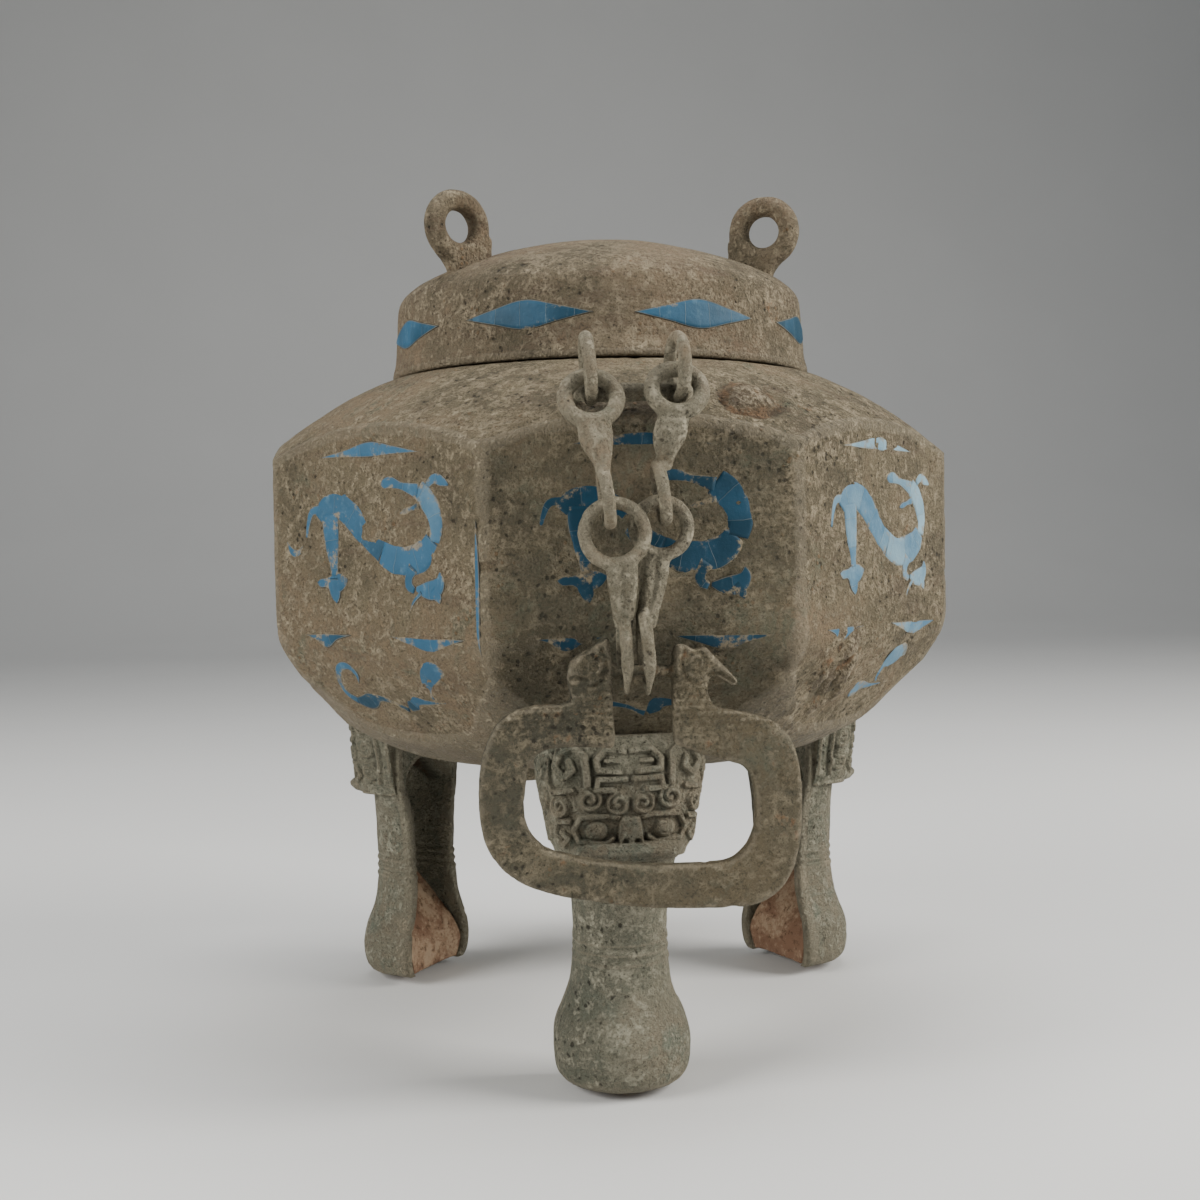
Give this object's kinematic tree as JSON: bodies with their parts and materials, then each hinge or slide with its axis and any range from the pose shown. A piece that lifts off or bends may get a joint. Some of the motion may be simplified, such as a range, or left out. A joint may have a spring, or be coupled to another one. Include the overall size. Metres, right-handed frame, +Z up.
{
  "type": "bronze lidded vessel",
  "caption": "Patinated bronze tripod vessel with a faceted belly, domed shoulder and ring-topped lid, blue stone inlay, mask legs with clay cores, and hanging chain handles with beast-headed bails.",
  "frame": {"origin": "on the vessel's upright axis, at the level of the undersides of the feet", "axes": "+Z up; -Y towards the front facet, which carries the front chain handle and has the front leg under it; +X towards the right-hand side facet"},
  "size_m": [0.2956, 0.3434, 0.3708],
  "materials": {
    "bronze": "dusty grey-green and tan patina with earth and corrosion",
    "fired_clay": "matt, crumbly",
    "blue_inlay": "dull polish, weathered"
  },
  "bodies": {
    "root": {"vessel_body": "bronze", "lid": "bronze", "leg_front": "bronze", "clay_core_front": "fired_clay", "leg_back_right": "bronze", "clay_core_back_right": "fired_clay", "leg_back_left": "bronze", "clay_core_back_left": "fired_clay", "front_upper_link_left": "bronze", "front_lower_link_left": "bronze", "front_upper_link_right": "bronze", "front_lower_link_right": "bronze", "front_bail": "bronze", "back_upper_link_left": "bronze", "back_lower_link_left": "bronze", "back_upper_link_right": "bronze", "back_lower_link_right": "bronze", "back_bail": "bronze"}
  },
  "joints": []
}
